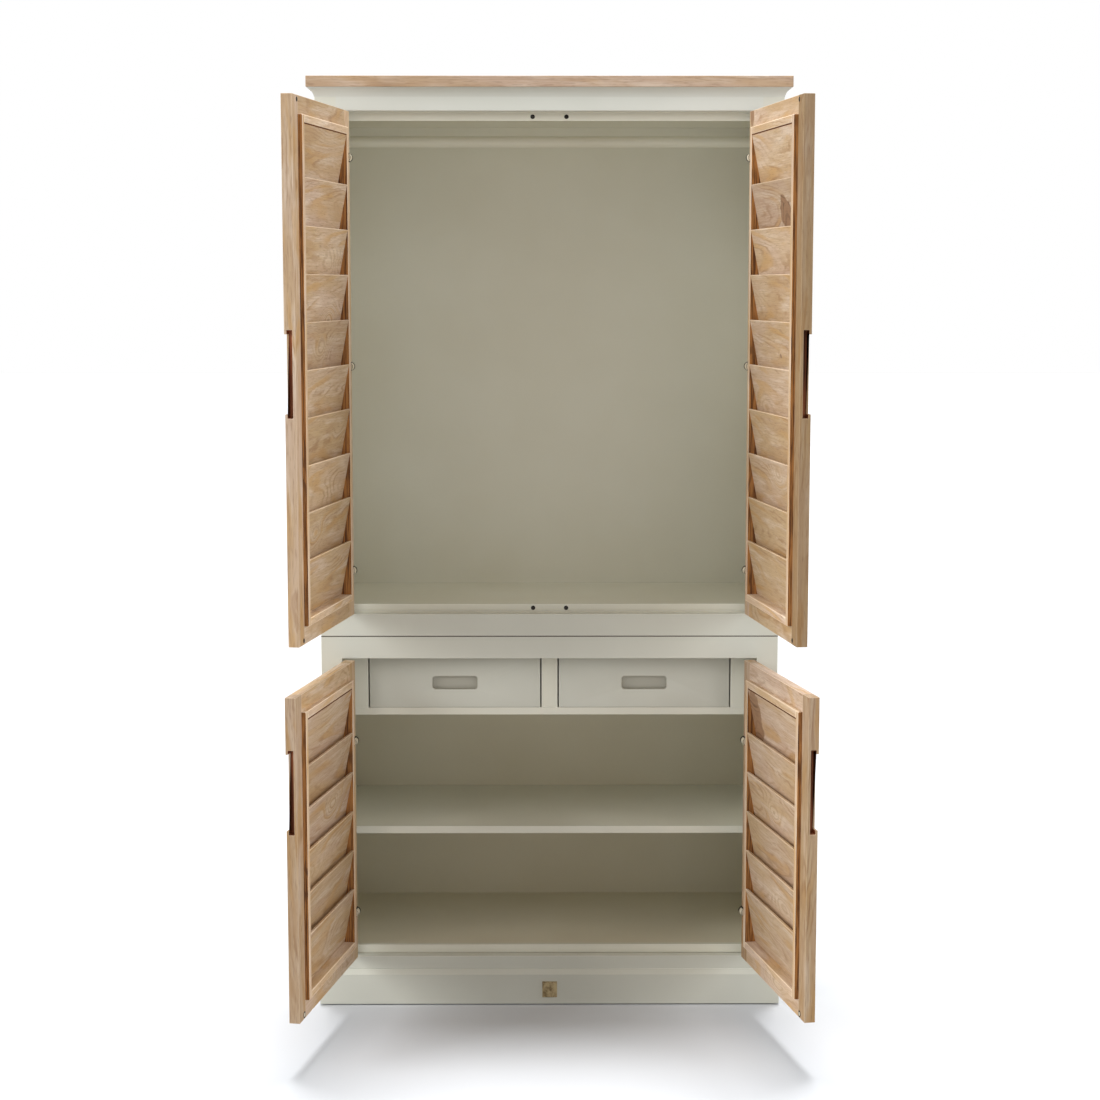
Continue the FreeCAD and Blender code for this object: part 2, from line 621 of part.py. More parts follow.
def door(side, level):
    hand = SIDES[side]
    prefix = f"{level}_{side}"
    low, high = f"{level}_opening_low + door_end_gap", f"{level}_opening_high - door_end_gap"
    height = f"{high} - ({low})"
    middle = f"({low} + {high}) / 2" if level == "upper" else f"{high} - lower_pull_drop"
    hinge_stile = mirrored_box(hand, "door_edge", "pin_proud", low, "door_stile", "door_thickness", height)
    meeting = mirrored_box(hand, "meeting_edge - door_stile", "pin_proud", low, "door_stile",
                           "door_thickness", height)
    holes = door_catch_rods(hand, level, "catch_hole_clearance", "door_inner_face - catch_depth",
                            "catch_depth + overrun")
    meeting_stile = cut(meeting, pull_tools(hand, middle) + holes)
    swung(node(f"{prefix}_stiles", [hinge_stile, meeting_stile]), side, level)

    rails = [mirrored_box(hand, "louvre_x", "pin_proud", z, "louvre_width", "door_thickness", "door_rail")
             for z in (low, f"{high} - door_rail")]
    swung(node(f"{prefix}_rails", rails), side, level)

    inner_low, inner_high = f"{low} + door_rail", f"{high} - door_rail"
    member_y, member_depth = "pin_proud + louvre_recess", "door_thickness - louvre_recess + louvre_proud"
    members = [mirrored_box(hand, x, member_y, inner_low, "louvre_member", member_depth,
                            f"{inner_high} - ({inner_low})")
               for x in ("louvre_x", "louvre_x + louvre_width - louvre_member")]
    members += [mirrored_box(hand, "slat_x", member_y, z, "slat_width", member_depth, "louvre_member")
                for z in (inner_low, f"{inner_high} - louvre_member")]
    swung(node(f"{prefix}_louvre_frame", members), side, level)

    boards = slats(hand, level, f"{inner_low} + louvre_member", f"{inner_high} - louvre_member")
    swung(node(f"{prefix}_slats", boards), side, level)

    fittings = [door_half(hand, z) for z in hinge_heights(level)]
    fittings += door_catch_rods(hand, level, 0, "door_inner_face - catch_depth",
                                "catch_depth + catch_proud")
    swung(node(f"{prefix}_fittings", fittings), side, level)


def recess_tool(middle_x, front):
    """The blind finger recess in a drawer front, with rounded corners."""
    middle_z = "drawer_low + drawer_height / 2 - recess_drop"
    across, up = "recess_width / 2 - recess_corner", "recess_height / 2 - recess_corner"
    depth, start = "recess_depth + overrun", f"{front} - overrun"
    wide = box(f"{middle_x} - recess_width / 2", start, f"{middle_z} - ({up})", "recess_width", depth,
               f"2 * ({up})")
    tall = box(f"{middle_x} - ({across})", start, f"{middle_z} - recess_height / 2", f"2 * ({across})", depth,
               "recess_height")
    corners = [rod(f"{middle_x} + {i} * ({across})", start, f"{middle_z} + {k} * ({up})", "recess_corner",
                   depth, Y_AXIS) for i in (1, -1) for k in (1, -1)]
    return fuse([wide, tall] + corners)


def drawer(side):
    hand = -SIDES[side]
    front = "inner_front"
    behind = f"{front} + drawer_front_thickness"
    length = "drawer_length - drawer_front_thickness"
    middle_x = f"{hand} * (drawer_inner + drawer_width / 2)"
    board = mirrored_box(hand, "drawer_inner", front, "drawer_low", "drawer_width",
                         "drawer_front_thickness", "drawer_height")
    node(f"{side}_drawer_front", [cut(board, [recess_tool(middle_x, front)])])
    walls = [mirrored_box(hand, x, behind, "drawer_low", "drawer_side_thickness", length, "drawer_height")
             for x in ("drawer_inner", "drawer_outer - drawer_side_thickness")]
    node(f"{side}_drawer_sides", walls)
    inner_x = "drawer_inner + drawer_side_thickness"
    inner_width = "drawer_width - 2 * drawer_side_thickness"
    back_y = f"{front} + drawer_length - drawer_side_thickness"
    back = mirrored_box(hand, inner_x, back_y, "drawer_low", inner_width, "drawer_side_thickness",
                        "drawer_height")
    node(f"{side}_drawer_back", [back])
    bottom = mirrored_box(hand, inner_x, behind, "drawer_low + drawer_bottom_rise", inner_width,
                          f"{length} - drawer_side_thickness", "drawer_bottom_thickness")
    node(f"{side}_drawer_bottom", [bottom])


def check_document():
    """Stop where an object failed or a sub-part has no sound shape."""
    for thing in doc.Objects:
        if "Invalid" in thing.State or "Error" in thing.State:
            raise RuntimeError(f"{thing.Name} failed: {thing.State}")
    for thing in nodes:
        if thing.Shape.isNull() or not thing.Shape.isValid():
            raise RuntimeError(f"{thing.Label} has no sound shape")


def write_parts():
    os.makedirs("parts", exist_ok=True)
    for thing in nodes:
        thing.Shape.exportStep(f"parts/{thing.Label}.step")
        print(f"{thing.Label}: {len(thing.Shape.Solids)} solids, {thing.Shape.Volume / 1000:.1f} cm3")
    print(len(nodes), "nodes")


fill_sheet()
top_plank()
crown_cove()
upper_carcass()
stops()
stop_magnets()
clothes_rail()
lower_carcass()
drawer_bay()
plinth()
glides()
blank_plate()
carcass_hinges()
for level in ("upper", "lower"):
    for side in SIDES:
        door(side, level)
for side in SIDES:
    drawer(side)
doc.recompute()
check_document()
write_parts()
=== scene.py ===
"""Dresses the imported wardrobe: limed mango doors and top, satin paint and nickel fittings.

Every board is cut with eased edges and carries the run of its own grain, so that the wood
figure turns with the door it belongs to. All measures are in metres.
"""

import json
import math
import random

import bmesh
import bpy
from mathutils import Matrix, Vector


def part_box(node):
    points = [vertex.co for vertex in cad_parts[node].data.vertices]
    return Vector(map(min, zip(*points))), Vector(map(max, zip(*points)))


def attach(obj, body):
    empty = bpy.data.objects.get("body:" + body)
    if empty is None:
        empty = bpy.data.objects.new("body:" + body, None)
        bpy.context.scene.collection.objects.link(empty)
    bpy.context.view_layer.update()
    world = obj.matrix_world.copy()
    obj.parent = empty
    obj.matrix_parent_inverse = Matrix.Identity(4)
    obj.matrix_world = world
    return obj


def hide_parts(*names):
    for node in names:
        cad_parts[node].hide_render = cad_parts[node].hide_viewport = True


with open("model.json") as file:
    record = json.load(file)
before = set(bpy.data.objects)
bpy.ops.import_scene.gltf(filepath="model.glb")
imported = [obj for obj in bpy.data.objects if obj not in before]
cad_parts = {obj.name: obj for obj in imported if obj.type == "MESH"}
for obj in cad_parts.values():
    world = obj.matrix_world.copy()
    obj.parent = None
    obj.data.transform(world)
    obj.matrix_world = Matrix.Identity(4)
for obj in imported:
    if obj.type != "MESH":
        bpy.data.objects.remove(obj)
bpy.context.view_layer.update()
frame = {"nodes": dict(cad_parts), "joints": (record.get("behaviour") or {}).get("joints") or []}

# Joinery: what counts as one corner, as one flat face, as a clear edge, and as an edge that is
# too short to ease
MERGE = 1e-6
FLAT = math.radians(0.5)
SHARP = math.radians(30)
SHORT_EDGE = 0.006

# Widths of the eased edges
PAINT_EASE = 0.0012
SEAM_EASE = 0.0015
FRIEZE_EASE = 0.003
WOOD_EASE = 0.0009
MEMBER_EASE = 0.0018
SLAT_EASE = 0.0018
PLANK_EASE = 0.0015
RIM_EASE = 0.0022

# A face looks along an axis where its normal has more than this share on it
LOOKS_ROUGHLY = 0.5
LOOKS = 0.9
LOOKS_STRAIGHT = 0.99

# How many staves the top plank is glued up from
PLANK_STAVES = 6

# Doors, in their own frame: x out from the pin, y inwards, z up
SIDES = {"left": 1, "right": -1}
MEMBER = 0.018
# Height of the painted shadow line on the topmost slat, under the frame's top member
SHADE_LINE_HEIGHT = 0.0028
PULL_X = (0.500, 0.524)
PULL_Y = (0.0124, 0.0264)
PULL_ENDS = 0.06

# Fittings, in the doors' frame: the dark rims (painted shade on the hinge halves), the size that tells a
# catch from a hinge half, and where the bright part of a boss begins
DISC_RIM = 0.0007
CATCH_RIM = 0.0030
CATCH_HEIGHT = 0.01
BOSS_RIM = 0.010
BOSS_SHADE = 0.55
BOSS_BASE = 0.035
ROUND_CORNERS = 8

# How much painted shade a face carries, where 1 is the most
DEEP_SHADE = 1.0
WARM_SHADE = 0.5
RECESS_FLOOR_SHADE = 0.6

# Figure of a board: its place along and across as shares of the board, its length and width, its
# strength, where less than 0 is a dark heart, and the board's own tone and hue
MEMBER_GRAIN = (0.3, 0.0, (0.3, 0.02), 0.6, (1.3, 0.1))
FIGURES = {
    "upper_left": (
        (-0.1, 0.6, (0.16, 0.05), 4.0, (-0.2, 0.0)),
        (-0.2, -0.5, (0.1, 0.06), 2.5, (0.2, -0.3)),
        (-0.2, -0.1, (0.1, 0.035), 4.0, (0.5, 0.4)),
        (-0.2, -0.3, (0.07, 0.035), 6.0, (0.4, 0.2)),
        (0.05, 0.0, (0.07, 0.035), 5.0, (-0.7, -0.4)),
        (0.2, 0.2, (0.2, 0.05), 1.5, (0.0, 0.3)),
        (-0.3, 0.1, (0.07, 0.03), 3.0, (-0.5, 1.2)),
        (0.1, -0.2, (0.12, 0.04), 3.0, (0.2, 0.2)),
        (0.25, 0.0, (0.06, 0.03), 4.0, (-0.6, 1.0)),
        (-0.1, 0.3, (0.1, 0.04), 2.0, (-0.3, 0.5)),
    ),
    "upper_right": (
        (-0.1, 0.2, (0.14, 0.05), 2.0, (0.7, 0.2)),
        (0.25, -0.1, (0.055, 0.045), -2.5, (-0.9, -0.4)),
        (0.1, 0.2, (0.2, 0.05), 1.5, (0.6, 0.0)),
        (-0.2, 0.1, (0.09, 0.03), 2.5, (0.3, 0.3)),
        (0.15, -0.12, (0.009, 0.006), -3.0, (0.1, 0.3)),
        (-0.25, -0.2, (0.08, 0.03), 3.0, (0.4, -0.2)),
        (0.0, 0.1, (0.15, 0.04), 2.0, (0.0, 0.6)),
        (0.2, 0.2, (0.06, 0.03), 4.0, (-0.2, 0.0)),
        (0.1, -0.2, (0.14, 0.04), 1.5, (-0.4, 2.0)),
        (-0.2, 0.0, (0.1, 0.04), 2.0, (-0.3, 2.0)),
    ),
    "lower_left": (
        (0.0, 0.4, (0.16, 0.05), 3.0, (-0.4, 0.0)),
        (-0.2, 0.1, (0.1, 0.03), 2.0, (-1.2, 0.3)),
        (-0.1, 0.1, (0.08, 0.035), 6.0, (-1.0, -0.8)),
        (0.2, -0.1, (0.07, 0.03), 3.5, (-0.7, 0.4)),
        (-0.2, 0.2, (0.13, 0.05), 2.0, (-1.3, 0.2)),
        (0.1, 0.0, (0.1, 0.04), 3.0, (-0.8, 0.6)),
    ),
    "lower_right": (
        (-0.42, 0.0, (0.055, 0.08), -1.6, (-0.1, 0.0)),
        (0.1, 0.2, (0.16, 0.04), 1.5, (-0.2, 0.2)),
        (0.0, 0.0, (0.07, 0.035), 5.0, (-0.2, 0.0)),
        (-0.2, 0.2, (0.12, 0.04), 2.5, (-0.7, 0.4)),
        (0.2, -0.1, (0.09, 0.03), 3.5, (-0.3, 0.1)),
        (0.0, 0.3, (0.12, 0.05), 2.0, (-0.6, 0.3)),
    ),
}
STILE_FIGURES = {
    "upper_left": {
        1: (0.1, 0.2, (0.3, 0.05), 0.8, (0.0, -0.3)),
    },
    "upper_right": {
        0: (0.49, 0.0, (0.035, 0.02), -1.2, (0.2, 0.0)),
        1: (0.1, 0.2, (0.3, 0.05), 0.8, (-2.6, 1.1)),
    },
    "lower_left": {
        1: (0.1, 0.2, (0.3, 0.05), 0.8, (-1.3, -0.2)),
    },
    "lower_right": {
        1: (0.1, 0.2, (0.3, 0.05), 0.8, (-1.5, 0.5)),
    },
}

# Mango as it grew: the pith behind a board's face and its lean, and the rings in a metre
PITH_DEPTH = 0.045
PITH_LEAN = 0.10
RINGS_PER_METRE = 110.0
RING_WANDER = 6.0
SWIRL_SHARE = 0.17
BROAD_BAND_SHARE = 0.37
HEART_RIM = (1.50, 1.40)
HEART_RAGGED = 1.1

# Camera, from the fit of the photograph
IMAGE = 1100
SENSOR = 36
FOCAL_PIXELS = 2186.6
CAMERA_PLACE = (-0.0244, -5.7716, 1.8494)
CAMERA_DOWN = math.radians(6.901)
CAMERA_RIGHT = math.radians(0.265)

# The room: the floor's half width, its colour as it lights the part and as it is seen, its glow,
# the soft level of the background, and the lights' direction, strength and spread in degrees
FLOOR_REACH = 40.0
FLOOR_LIGHTING = (0.34, 0.336, 0.328, 1.0)
FLOOR_SEEN = (0.61, 0.628, 0.656, 1.0)
FLOOR_GLOW = 0.02
SOFT_LEVEL = 0.30
LIGHTS = {
    "left_light": ((0.86, 0.33, -0.37), 2.55, 34),
    "right_light": ((-0.90, 0.27, -0.31), 1.8, 34),
    "top_light": ((0.0, -0.20, -0.98), 3.6, 18),
    "front_light": ((0.0, 0.72, -0.69), 0.28, 55),
}


# ---- Node helpers

def add(tree, kind, inputs=None, **settings):
    """A shader node with its settings made and its inputs linked or filled."""
    made = tree.nodes.new("ShaderNode" + kind)
    for name, value in settings.items():
        setattr(made, name, value)
    for name, value in (inputs or {}).items():
        if isinstance(value, bpy.types.NodeSocket):
            tree.links.new(value, made.inputs[name])
        else:
            made.inputs[name].default_value = value
    return made


def calc(tree, operation, *values, clamp=False):
    """A sum, product or other number worked out of the values."""
    made = add(tree, "Math", dict(enumerate(values)), operation=operation, use_clamp=clamp)
    return made.outputs[0]


def vector_calc(tree, operation, *values):
    """A vector worked out of the values."""
    return add(tree, "VectorMath", dict(enumerate(values)), operation=operation).outputs[0]


def mixed(tree, share, first, second, blend="MIX"):
    """Two colours mixed by a share."""
    made = add(tree, "Mix", {0: share, 6: first, 7: second}, data_type="RGBA", blend_type=blend)
    return made.outputs[2]


def washed(tree, colour, mask, share, shade):
    """A colour with a shade laid over it, as far as a mask and a share say."""
    return mixed(tree, calc(tree, "MULTIPLY", mask, share), colour, shade)


def eased_range(tree, value, low, high):
    """0 below low and 1 above high, with a soft rise between them."""
    made = add(tree, "MapRange", {0: value, 1: low, 2: high, 3: 0.0, 4: 1.0},
               interpolation_type="SMOOTHSTEP")
    return made.outputs[0]


def noise(tree, place, stretch, detail=2.0, rough=0.5, twist=0.0):
    """Soft noise, packed more tightly along each axis by stretch."""
    packed = vector_calc(tree, "MULTIPLY", place, stretch)
    made = add(tree, "TexNoise", {"Vector": packed, "Scale": 1.0, "Detail": detail, "Roughness": rough,
                                  "Distortion": twist})
    return made.outputs["Fac"]


def rgb(red, green, blue):
    """A colour given as the eye sees it, from 0 to 255."""
    def linear(level):
        share = level / 255
        return share / 12.92 if share <= 0.04045 else ((share + 0.055) / 1.055) ** 2.4
    return (linear(red), linear(green), linear(blue), 1.0)


def node_group(name, inputs, outputs):
    """An empty shader group with named sockets; gives the tree and its two end nodes."""
    tree = bpy.data.node_groups.new(name, "ShaderNodeTree")
    for title, kind, default in inputs:
        socket = tree.interface.new_socket(name=title, in_out="INPUT", socket_type=kind)
        if default is not None:
            socket.default_value = default
    for title, kind in outputs:
        tree.interface.new_socket(name=title, in_out="OUTPUT", socket_type=kind)
    return tree, tree.nodes.new("NodeGroupInput"), tree.nodes.new("NodeGroupOutput")


def attribute(tree, name):
    """What a piece carries on the corners of its faces under a name."""
    return add(tree, "Attribute", attribute_name=name).outputs["Vector"]


def parted(tree, vector):
    """The three numbers of a vector."""
    return add(tree, "SeparateXYZ", {0: vector}).outputs


# ---- Shared effects

GRAIN_MASKS = ("Swirl", "Bands", "Rings", "Fibres", "Pores", "Patches", "Lime", "Heart")


def grain_group():
    """The figure of flat-sawn mango: rings, swirls round knots, fibres, pores and lime wash."""
    tree, given, result = node_group("mango_figure", [
        ("Grain", "NodeSocketVector", None), ("Tint", "NodeSocketVector", None),
        ("Figure", "NodeSocketVector", None),
    ], [(title, "NodeSocketFloat") for title in GRAIN_MASKS])
    grain, tint, figure = (given.outputs[name] for name in ("Grain", "Tint", "Figure"))
    seed = parted(tree, tint)[2]
    shift = vector_calc(tree, "SCALE", (3.1, 5.7, 4.3))
    tree.links.new(seed, shift.node.inputs["Scale"])
    place = vector_calc(tree, "ADD", grain, shift)

    knot_x, knot_y, strength = parted(tree, figure)
    reach = calc(tree, "ADD", calc(tree, "MULTIPLY", knot_x, knot_x), calc(tree, "MULTIPLY", knot_y, knot_y))
    mound = calc(tree, "POWER", math.e, calc(tree, "MULTIPLY", reach, -1.0))
    swirl = calc(tree, "MULTIPLY", mound, calc(tree, "ABSOLUTE", strength))

    along, across, through = parted(tree, grain)
    lean = calc(tree, "MULTIPLY", along, PITH_LEAN)
    depth = calc(tree, "ADD", calc(tree, "ADD", through, PITH_DEPTH), lean)
    radius = calc(tree, "SQRT", calc(tree, "ADD", calc(tree, "MULTIPLY", across, across),
                                     calc(tree, "MULTIPLY", depth, depth)))
    wander = noise(tree, place, (2.6, 11.0, 11.0), detail=4.0, twist=0.6)
    phase = calc(tree, "ADD", calc(tree, "MULTIPLY", radius, RINGS_PER_METRE),
                 calc(tree, "ADD", calc(tree, "MULTIPLY", wander, RING_WANDER), swirl))
    wave = calc(tree, "SINE", calc(tree, "MULTIPLY", phase, math.tau))
    rings = eased_range(tree, wave, -0.1, 1.0)
    fade = eased_range(tree, noise(tree, place, (6.0, 30.0, 30.0), detail=3.0), 0.42, 0.72)
    swirling = calc(tree, "MULTIPLY", mound,
                    calc(tree, "MULTIPLY", calc(tree, "ABSOLUTE", strength), SWIRL_SHARE), clamp=True)
    rings = calc(tree, "MULTIPLY", rings, calc(tree, "MAXIMUM", fade, swirling))

    fibres = noise(tree, place, (8.0, 330.0, 330.0), detail=4.0, rough=0.65)
    pores = noise(tree, place, (38.0, 560.0, 560.0), detail=1.0)
    patches = noise(tree, place, (2.2, 9.0, 9.0), detail=2.0, twist=0.8)
    lime = noise(tree, place, (5.0, 42.0, 42.0), detail=3.0, rough=0.6)
    ragged = calc(tree, "ADD", calc(tree, "SQRT", reach),
                  calc(tree, "MULTIPLY", noise(tree, place, (26.0, 30.0, 30.0), detail=3.0),
                       HEART_RAGGED))
    heart = calc(tree, "MULTIPLY", calc(tree, "LESS_THAN", strength, 0.0),
                 eased_range(tree, ragged, *HEART_RIM))
    broad = calc(tree, "SINE", calc(tree, "MULTIPLY", phase, math.tau * BROAD_BAND_SHARE))
    bands = calc(tree, "MULTIPLY", eased_range(tree, broad, 0.0, 0.9),
                 eased_range(tree, noise(tree, place, (4.0, 13.0, 13.0), detail=2.0), 0.42, 0.62))
    masks = (swirling, bands, rings, fibres, eased_range(tree, pores, 0.56, 0.72), patches,
             eased_range(tree, lime, 0.45, 0.72), heart)
    for name, value in zip(GRAIN_MASKS, masks):
        tree.links.new(value, result.inputs[name])
    return tree


def paint_group():
    """The slight unevenness of sprayed and rubbed satin paint."""
    tree, given, result = node_group("satin_paint", [("Place", "NodeSocketVector", None)],
                                     [("Cloud", "NodeSocketFloat"), ("Stipple", "NodeSocketFloat")])
    place = given.outputs["Place"]
    cloud = noise(tree, place, (2.0, 2.0, 2.0), detail=3.0, rough=0.6)
    stipple = calc(tree, "ADD", calc(tree, "MULTIPLY", noise(tree, place, (420.0, 420.0, 420.0)), 0.6),
                   calc(tree, "MULTIPLY", noise(tree, place, (60.0, 60.0, 60.0)), 0.4))
    tree.links.new(cloud, result.inputs["Cloud"])
    tree.links.new(stipple, result.inputs["Stipple"])
    return tree


GRAIN = grain_group()
PAINT = paint_group()


# ---- Materials

def new_material(name):
    """An empty material with its tree and its one shader."""
    material = bpy.data.materials.new(name)
    material.use_nodes = True
    tree = material.node_tree
    tree.nodes.clear()
    shader = add(tree, "BsdfPrincipled")
    output = add(tree, "OutputMaterial", {"Surface": shader.outputs[0]})
    output.is_active_output = True
    return material, tree, shader


def connect(tree, shader, **sockets):
    """Feed the shader's sockets; words are joined by spaces in the shader's own names."""
    for name, value in sockets.items():
        target = shader.inputs[name.replace("_", " ")]
        if isinstance(value, bpy.types.NodeSocket):
            tree.links.new(value, target)
        else:
            target.default_value = value


def bump(tree, height, distance, strength):
    """The normal of a surface that a height lifts."""
    made = add(tree, "Bump", {"Height": height, "Distance": distance, "Strength": strength})
    return made.outputs["Normal"]


def mango_wood():
    """Lime-washed and waxed mango, light tan with pink, yellow and grey in it, with painted highlight and
    shade.
    """
    material, tree, shader = new_material("limed_mango")
    tint, wear_and_painted_light = attribute(tree, "tint"), attribute(tree, "wear_and_painted_light")
    figure = add(tree, "Group", node_tree=GRAIN)
    for name in ("grain", "figure"):
        tree.links.new(attribute(tree, name), figure.inputs[name.capitalize()])
    tree.links.new(tint, figure.inputs["Tint"])
    swirl, bands, rings, fibres, pores, patches, lime, heart = figure.outputs
    tone, hue, _ = parted(tree, tint)
    # The layer's three parts: eased edges, lighter as wear and painted highlight; the painted shade level;
    # the painted shadow line
    edge, painted_shade_level, crevice = parted(tree, wear_and_painted_light)

    warmth = calc(tree, "ADD", eased_range(tree, patches, 0.3, 0.7), calc(tree, "MULTIPLY", hue, 0.45),
                  clamp=True)
    colour = mixed(tree, warmth, rgb(197, 172, 151), rgb(195, 168, 130))
    for mask, share, shade in (
            (lime, 0.62, rgb(226, 210, 192)),
            (eased_range(tree, patches, 0.52, 0.72), 0.42, rgb(166, 126, 86)),
            (eased_range(tree, fibres, 0.34, 0.70), 0.42, rgb(164, 130, 100)),
            (swirl, 0.55, rgb(214, 194, 166)),
            (bands, 0.62, rgb(188, 148, 94)),
            (rings, 0.52, rgb(146, 106, 66))):
        colour = washed(tree, colour, mask, share, shade)
    heart_colour = mixed(tree, rings, rgb(156, 122, 94), rgb(98, 70, 50))
    colour = mixed(tree, heart, colour, heart_colour)
    colour = washed(tree, colour, pores, 0.30, rgb(118, 86, 60))
    # Eased edges lighter: partly worn wood, partly a painted highlight
    colour = washed(tree, colour, edge, 0.5, rgb(234, 214, 188))
    # Painted shade streaked with the grain: deep brown on the raised frame's sides and undersides, warm
    # brown in the finger pulls
    striped = calc(tree, "MAXIMUM", eased_range(tree, fibres, 0.44, 0.60), rings)
    deep_shade_colour = mixed(tree, striped, rgb(162, 110, 58), rgb(84, 50, 22))
    warm_shade_colour = mixed(tree, striped, rgb(184, 116, 74), rgb(112, 64, 38))
    is_warm_shade = calc(tree, "LESS_THAN", painted_shade_level, (WARM_SHADE + DEEP_SHADE) / 2)
    is_shaded = calc(tree, "GREATER_THAN", painted_shade_level, WARM_SHADE / 2)
    colour = mixed(tree, is_shaded, colour, mixed(tree, is_warm_shade, deep_shade_colour, warm_shade_colour))
    lift = add(tree, "CombineXYZ", {axis: calc(tree, "ADD", 1.0, calc(tree, "MULTIPLY", tone, share))
                                    for axis, share in enumerate((0.15, 0.17, 0.20))}).outputs[0]
    colour = vector_calc(tree, "MULTIPLY", colour, lift)
    # Painted shadow line, near-black brown, along the top of the topmost slat
    colour = mixed(tree, crevice, colour, rgb(92, 48, 14))

    rough = calc(tree, "ADD", 0.52, calc(tree, "MULTIPLY", fibres, 0.18))
    rough = calc(tree, "MAXIMUM", rough, crevice)
    height = calc(tree, "SUBTRACT", calc(tree, "MULTIPLY", fibres, 0.6), pores)
    connect(tree, shader, Base_Color=colour, Roughness=rough, Specular_IOR_Level=0.35,
            Normal=bump(tree, height, 0.0004, 0.6))
    return material


def satin_paint(name, light, dark, edge_light):
    """Off-white satin paint; light and dark are its clouding, and the third colour lightens its rounded
    edges as rubbed paint and painted highlight.
    """
    material, tree, shader = new_material(name)
    place = add(tree, "TexCoord").outputs["Object"]
    finish = add(tree, "Group", {"Place": place}, node_tree=PAINT)
    cloud, stipple = finish.outputs
    # The same layer: eased edges (rubbed paint and painted highlight), painted shade in the drawer recesses,
    # painted shadow line at the seam
    edge, recess_shade, seam = parted(tree, attribute(tree, "wear_and_painted_light"))
    colour = mixed(tree, eased_range(tree, cloud, 0.3, 0.7), light, dark)
    # Rounded edges lighter: partly paint rubbed thin, partly a painted highlight
    colour = washed(tree, colour, edge, 0.6, edge_light)
    # Painted shade on the walls and floor of the drawer fronts' finger recesses
    colour = washed(tree, colour, recess_shade, 0.8, rgb(150, 143, 126))
    # Painted shadow line along the seam where the upper cabinet stands on the lower one
    colour = washed(tree, colour, seam, 0.9, rgb(84, 77, 64))
    rough = calc(tree, "ADD", 0.40, calc(tree, "MULTIPLY", stipple, 0.16))
    connect(tree, shader, Base_Color=colour, Roughness=rough, Specular_IOR_Level=0.4,
            Normal=bump(tree, stipple, 0.00025, 0.35))
    return material


def plated_metal(name, bright, dull, rough, grime, metallic=1.0):
    """Plate with fine brushing, and darker where fingers and dust have been."""
    material, tree, shader = new_material(name)
    place = add(tree, "TexCoord").outputs["Object"]
    brushing = noise(tree, place, (300.0, 300.0, 2600.0), detail=2.0)
    cloud = noise(tree, place, (90.0, 90.0, 90.0), detail=3.0, rough=0.65)
    colour = mixed(tree, eased_range(tree, cloud, 0.35, 0.7), bright, dull)
    roughness = calc(tree, "ADD", rough, calc(tree, "MULTIPLY", cloud, grime))
    connect(tree, shader, Base_Color=colour, Metallic=metallic, Roughness=roughness,
            Normal=bump(tree, brushing, 0.0001, 0.4))
    return material


def bare_wood():
    """Plain beech of the dowels, with short flecks."""
    material, tree, shader = new_material("bare_beech")
    place = add(tree, "TexCoord").outputs["Object"]
    fleck = eased_range(tree, noise(tree, place, (900.0, 900.0, 90.0), detail=2.0), 0.5, 0.7)
    colour = mixed(tree, fleck, rgb(214, 180, 138), rgb(176, 134, 92))
    connect(tree, shader, Base_Color=colour, Roughness=0.6, Normal=bump(tree, fleck, 0.0002, 0.5))
    return material


def glide_plastic():
    """Dark plastic with a fine moulded grain and some dust."""
    material, tree, shader = new_material("dark_plastic")
    place = add(tree, "TexCoord").outputs["Object"]
    grit = noise(tree, place, (1500.0, 1500.0, 1500.0))
    dust = eased_range(tree, noise(tree, place, (70.0, 70.0, 70.0), detail=3.0), 0.5, 0.8)
    colour = washed(tree, rgb(34, 34, 34), dust, 0.5, rgb(92, 88, 82))
    rough = calc(tree, "ADD", 0.45, calc(tree, "MULTIPLY", dust, 0.3))
    connect(tree, shader, Base_Color=colour, Roughness=rough, Normal=bump(tree, grit, 0.0002, 0.5))
    return material


MANGO = mango_wood()
# Paints: two tones of the clouding, and the lighter colour of the edges, partly paint rubbed thin and partly
# a painted highlight
OUTSIDE = satin_paint("outside_paint", rgb(221, 223, 216), rgb(213, 215, 206), rgb(236, 237, 231))
# A lighter, warmer copy of the outside paint for the inside: painted light in the shaded interior
INSIDE_LIT_COPY = satin_paint("inside_paint_lit_copy", rgb(234, 233, 219), rgb(229, 227, 211), rgb(239, 238, 229))
# A darker, yellower copy of the inside paint for the lower cabinet's inside: painted shade
LOWER_SHADED_COPY = satin_paint("lower_inside_paint_shaded_copy", rgb(229, 223, 202), rgb(223, 216, 193), rgb(238, 235, 221))
# A warmer copy of the outside paint for the front frame, plinth and drawer fronts: painted warm bounced
# light in their shade
FRAME_WARM_COPY = satin_paint("frame_paint_warm_copy", rgb(221, 222, 211), rgb(213, 213, 201), rgb(235, 236, 227))
# Plate: its bright and dull tones, its roughness, what grime adds to it, and its metal share
NICKEL = plated_metal("nickel_plate", rgb(240, 232, 212), rgb(206, 196, 172), 0.32, 0.3, 0.3)
# Dark steel, which also stands as painted shade on the nickel hinge halves
DARK_STEEL_AND_SHADE = plated_metal("dark_steel_and_painted_shade", rgb(58, 54, 50), rgb(26, 24, 22), 0.35, 0.3)
BRASS = plated_metal("aged_brass", rgb(176, 158, 122), rgb(112, 92, 66), 0.42, 0.35)
BEECH = bare_wood()
PLASTIC = glide_plastic()


# ---- Joinery

def new_work():
    """An empty mesh to cut boards in."""
    work = bmesh.new()
    add_layers(work)
    return work


def add_layers(work):
    """The layers of a mesh that carry grain, edge wear, painted highlights and painted shade."""
    for name in ("grain", "tint", "figure", "wear_and_painted_light"):
        work.loops.layers.float_vector.new(name)


def extent(points):
    """Lowest and highest corner of a set of points."""
    low = Vector([min(p[axis] for p in points) for axis in range(3)])
    high = Vector([max(p[axis] for p in points) for axis in range(3)])
    return low, high


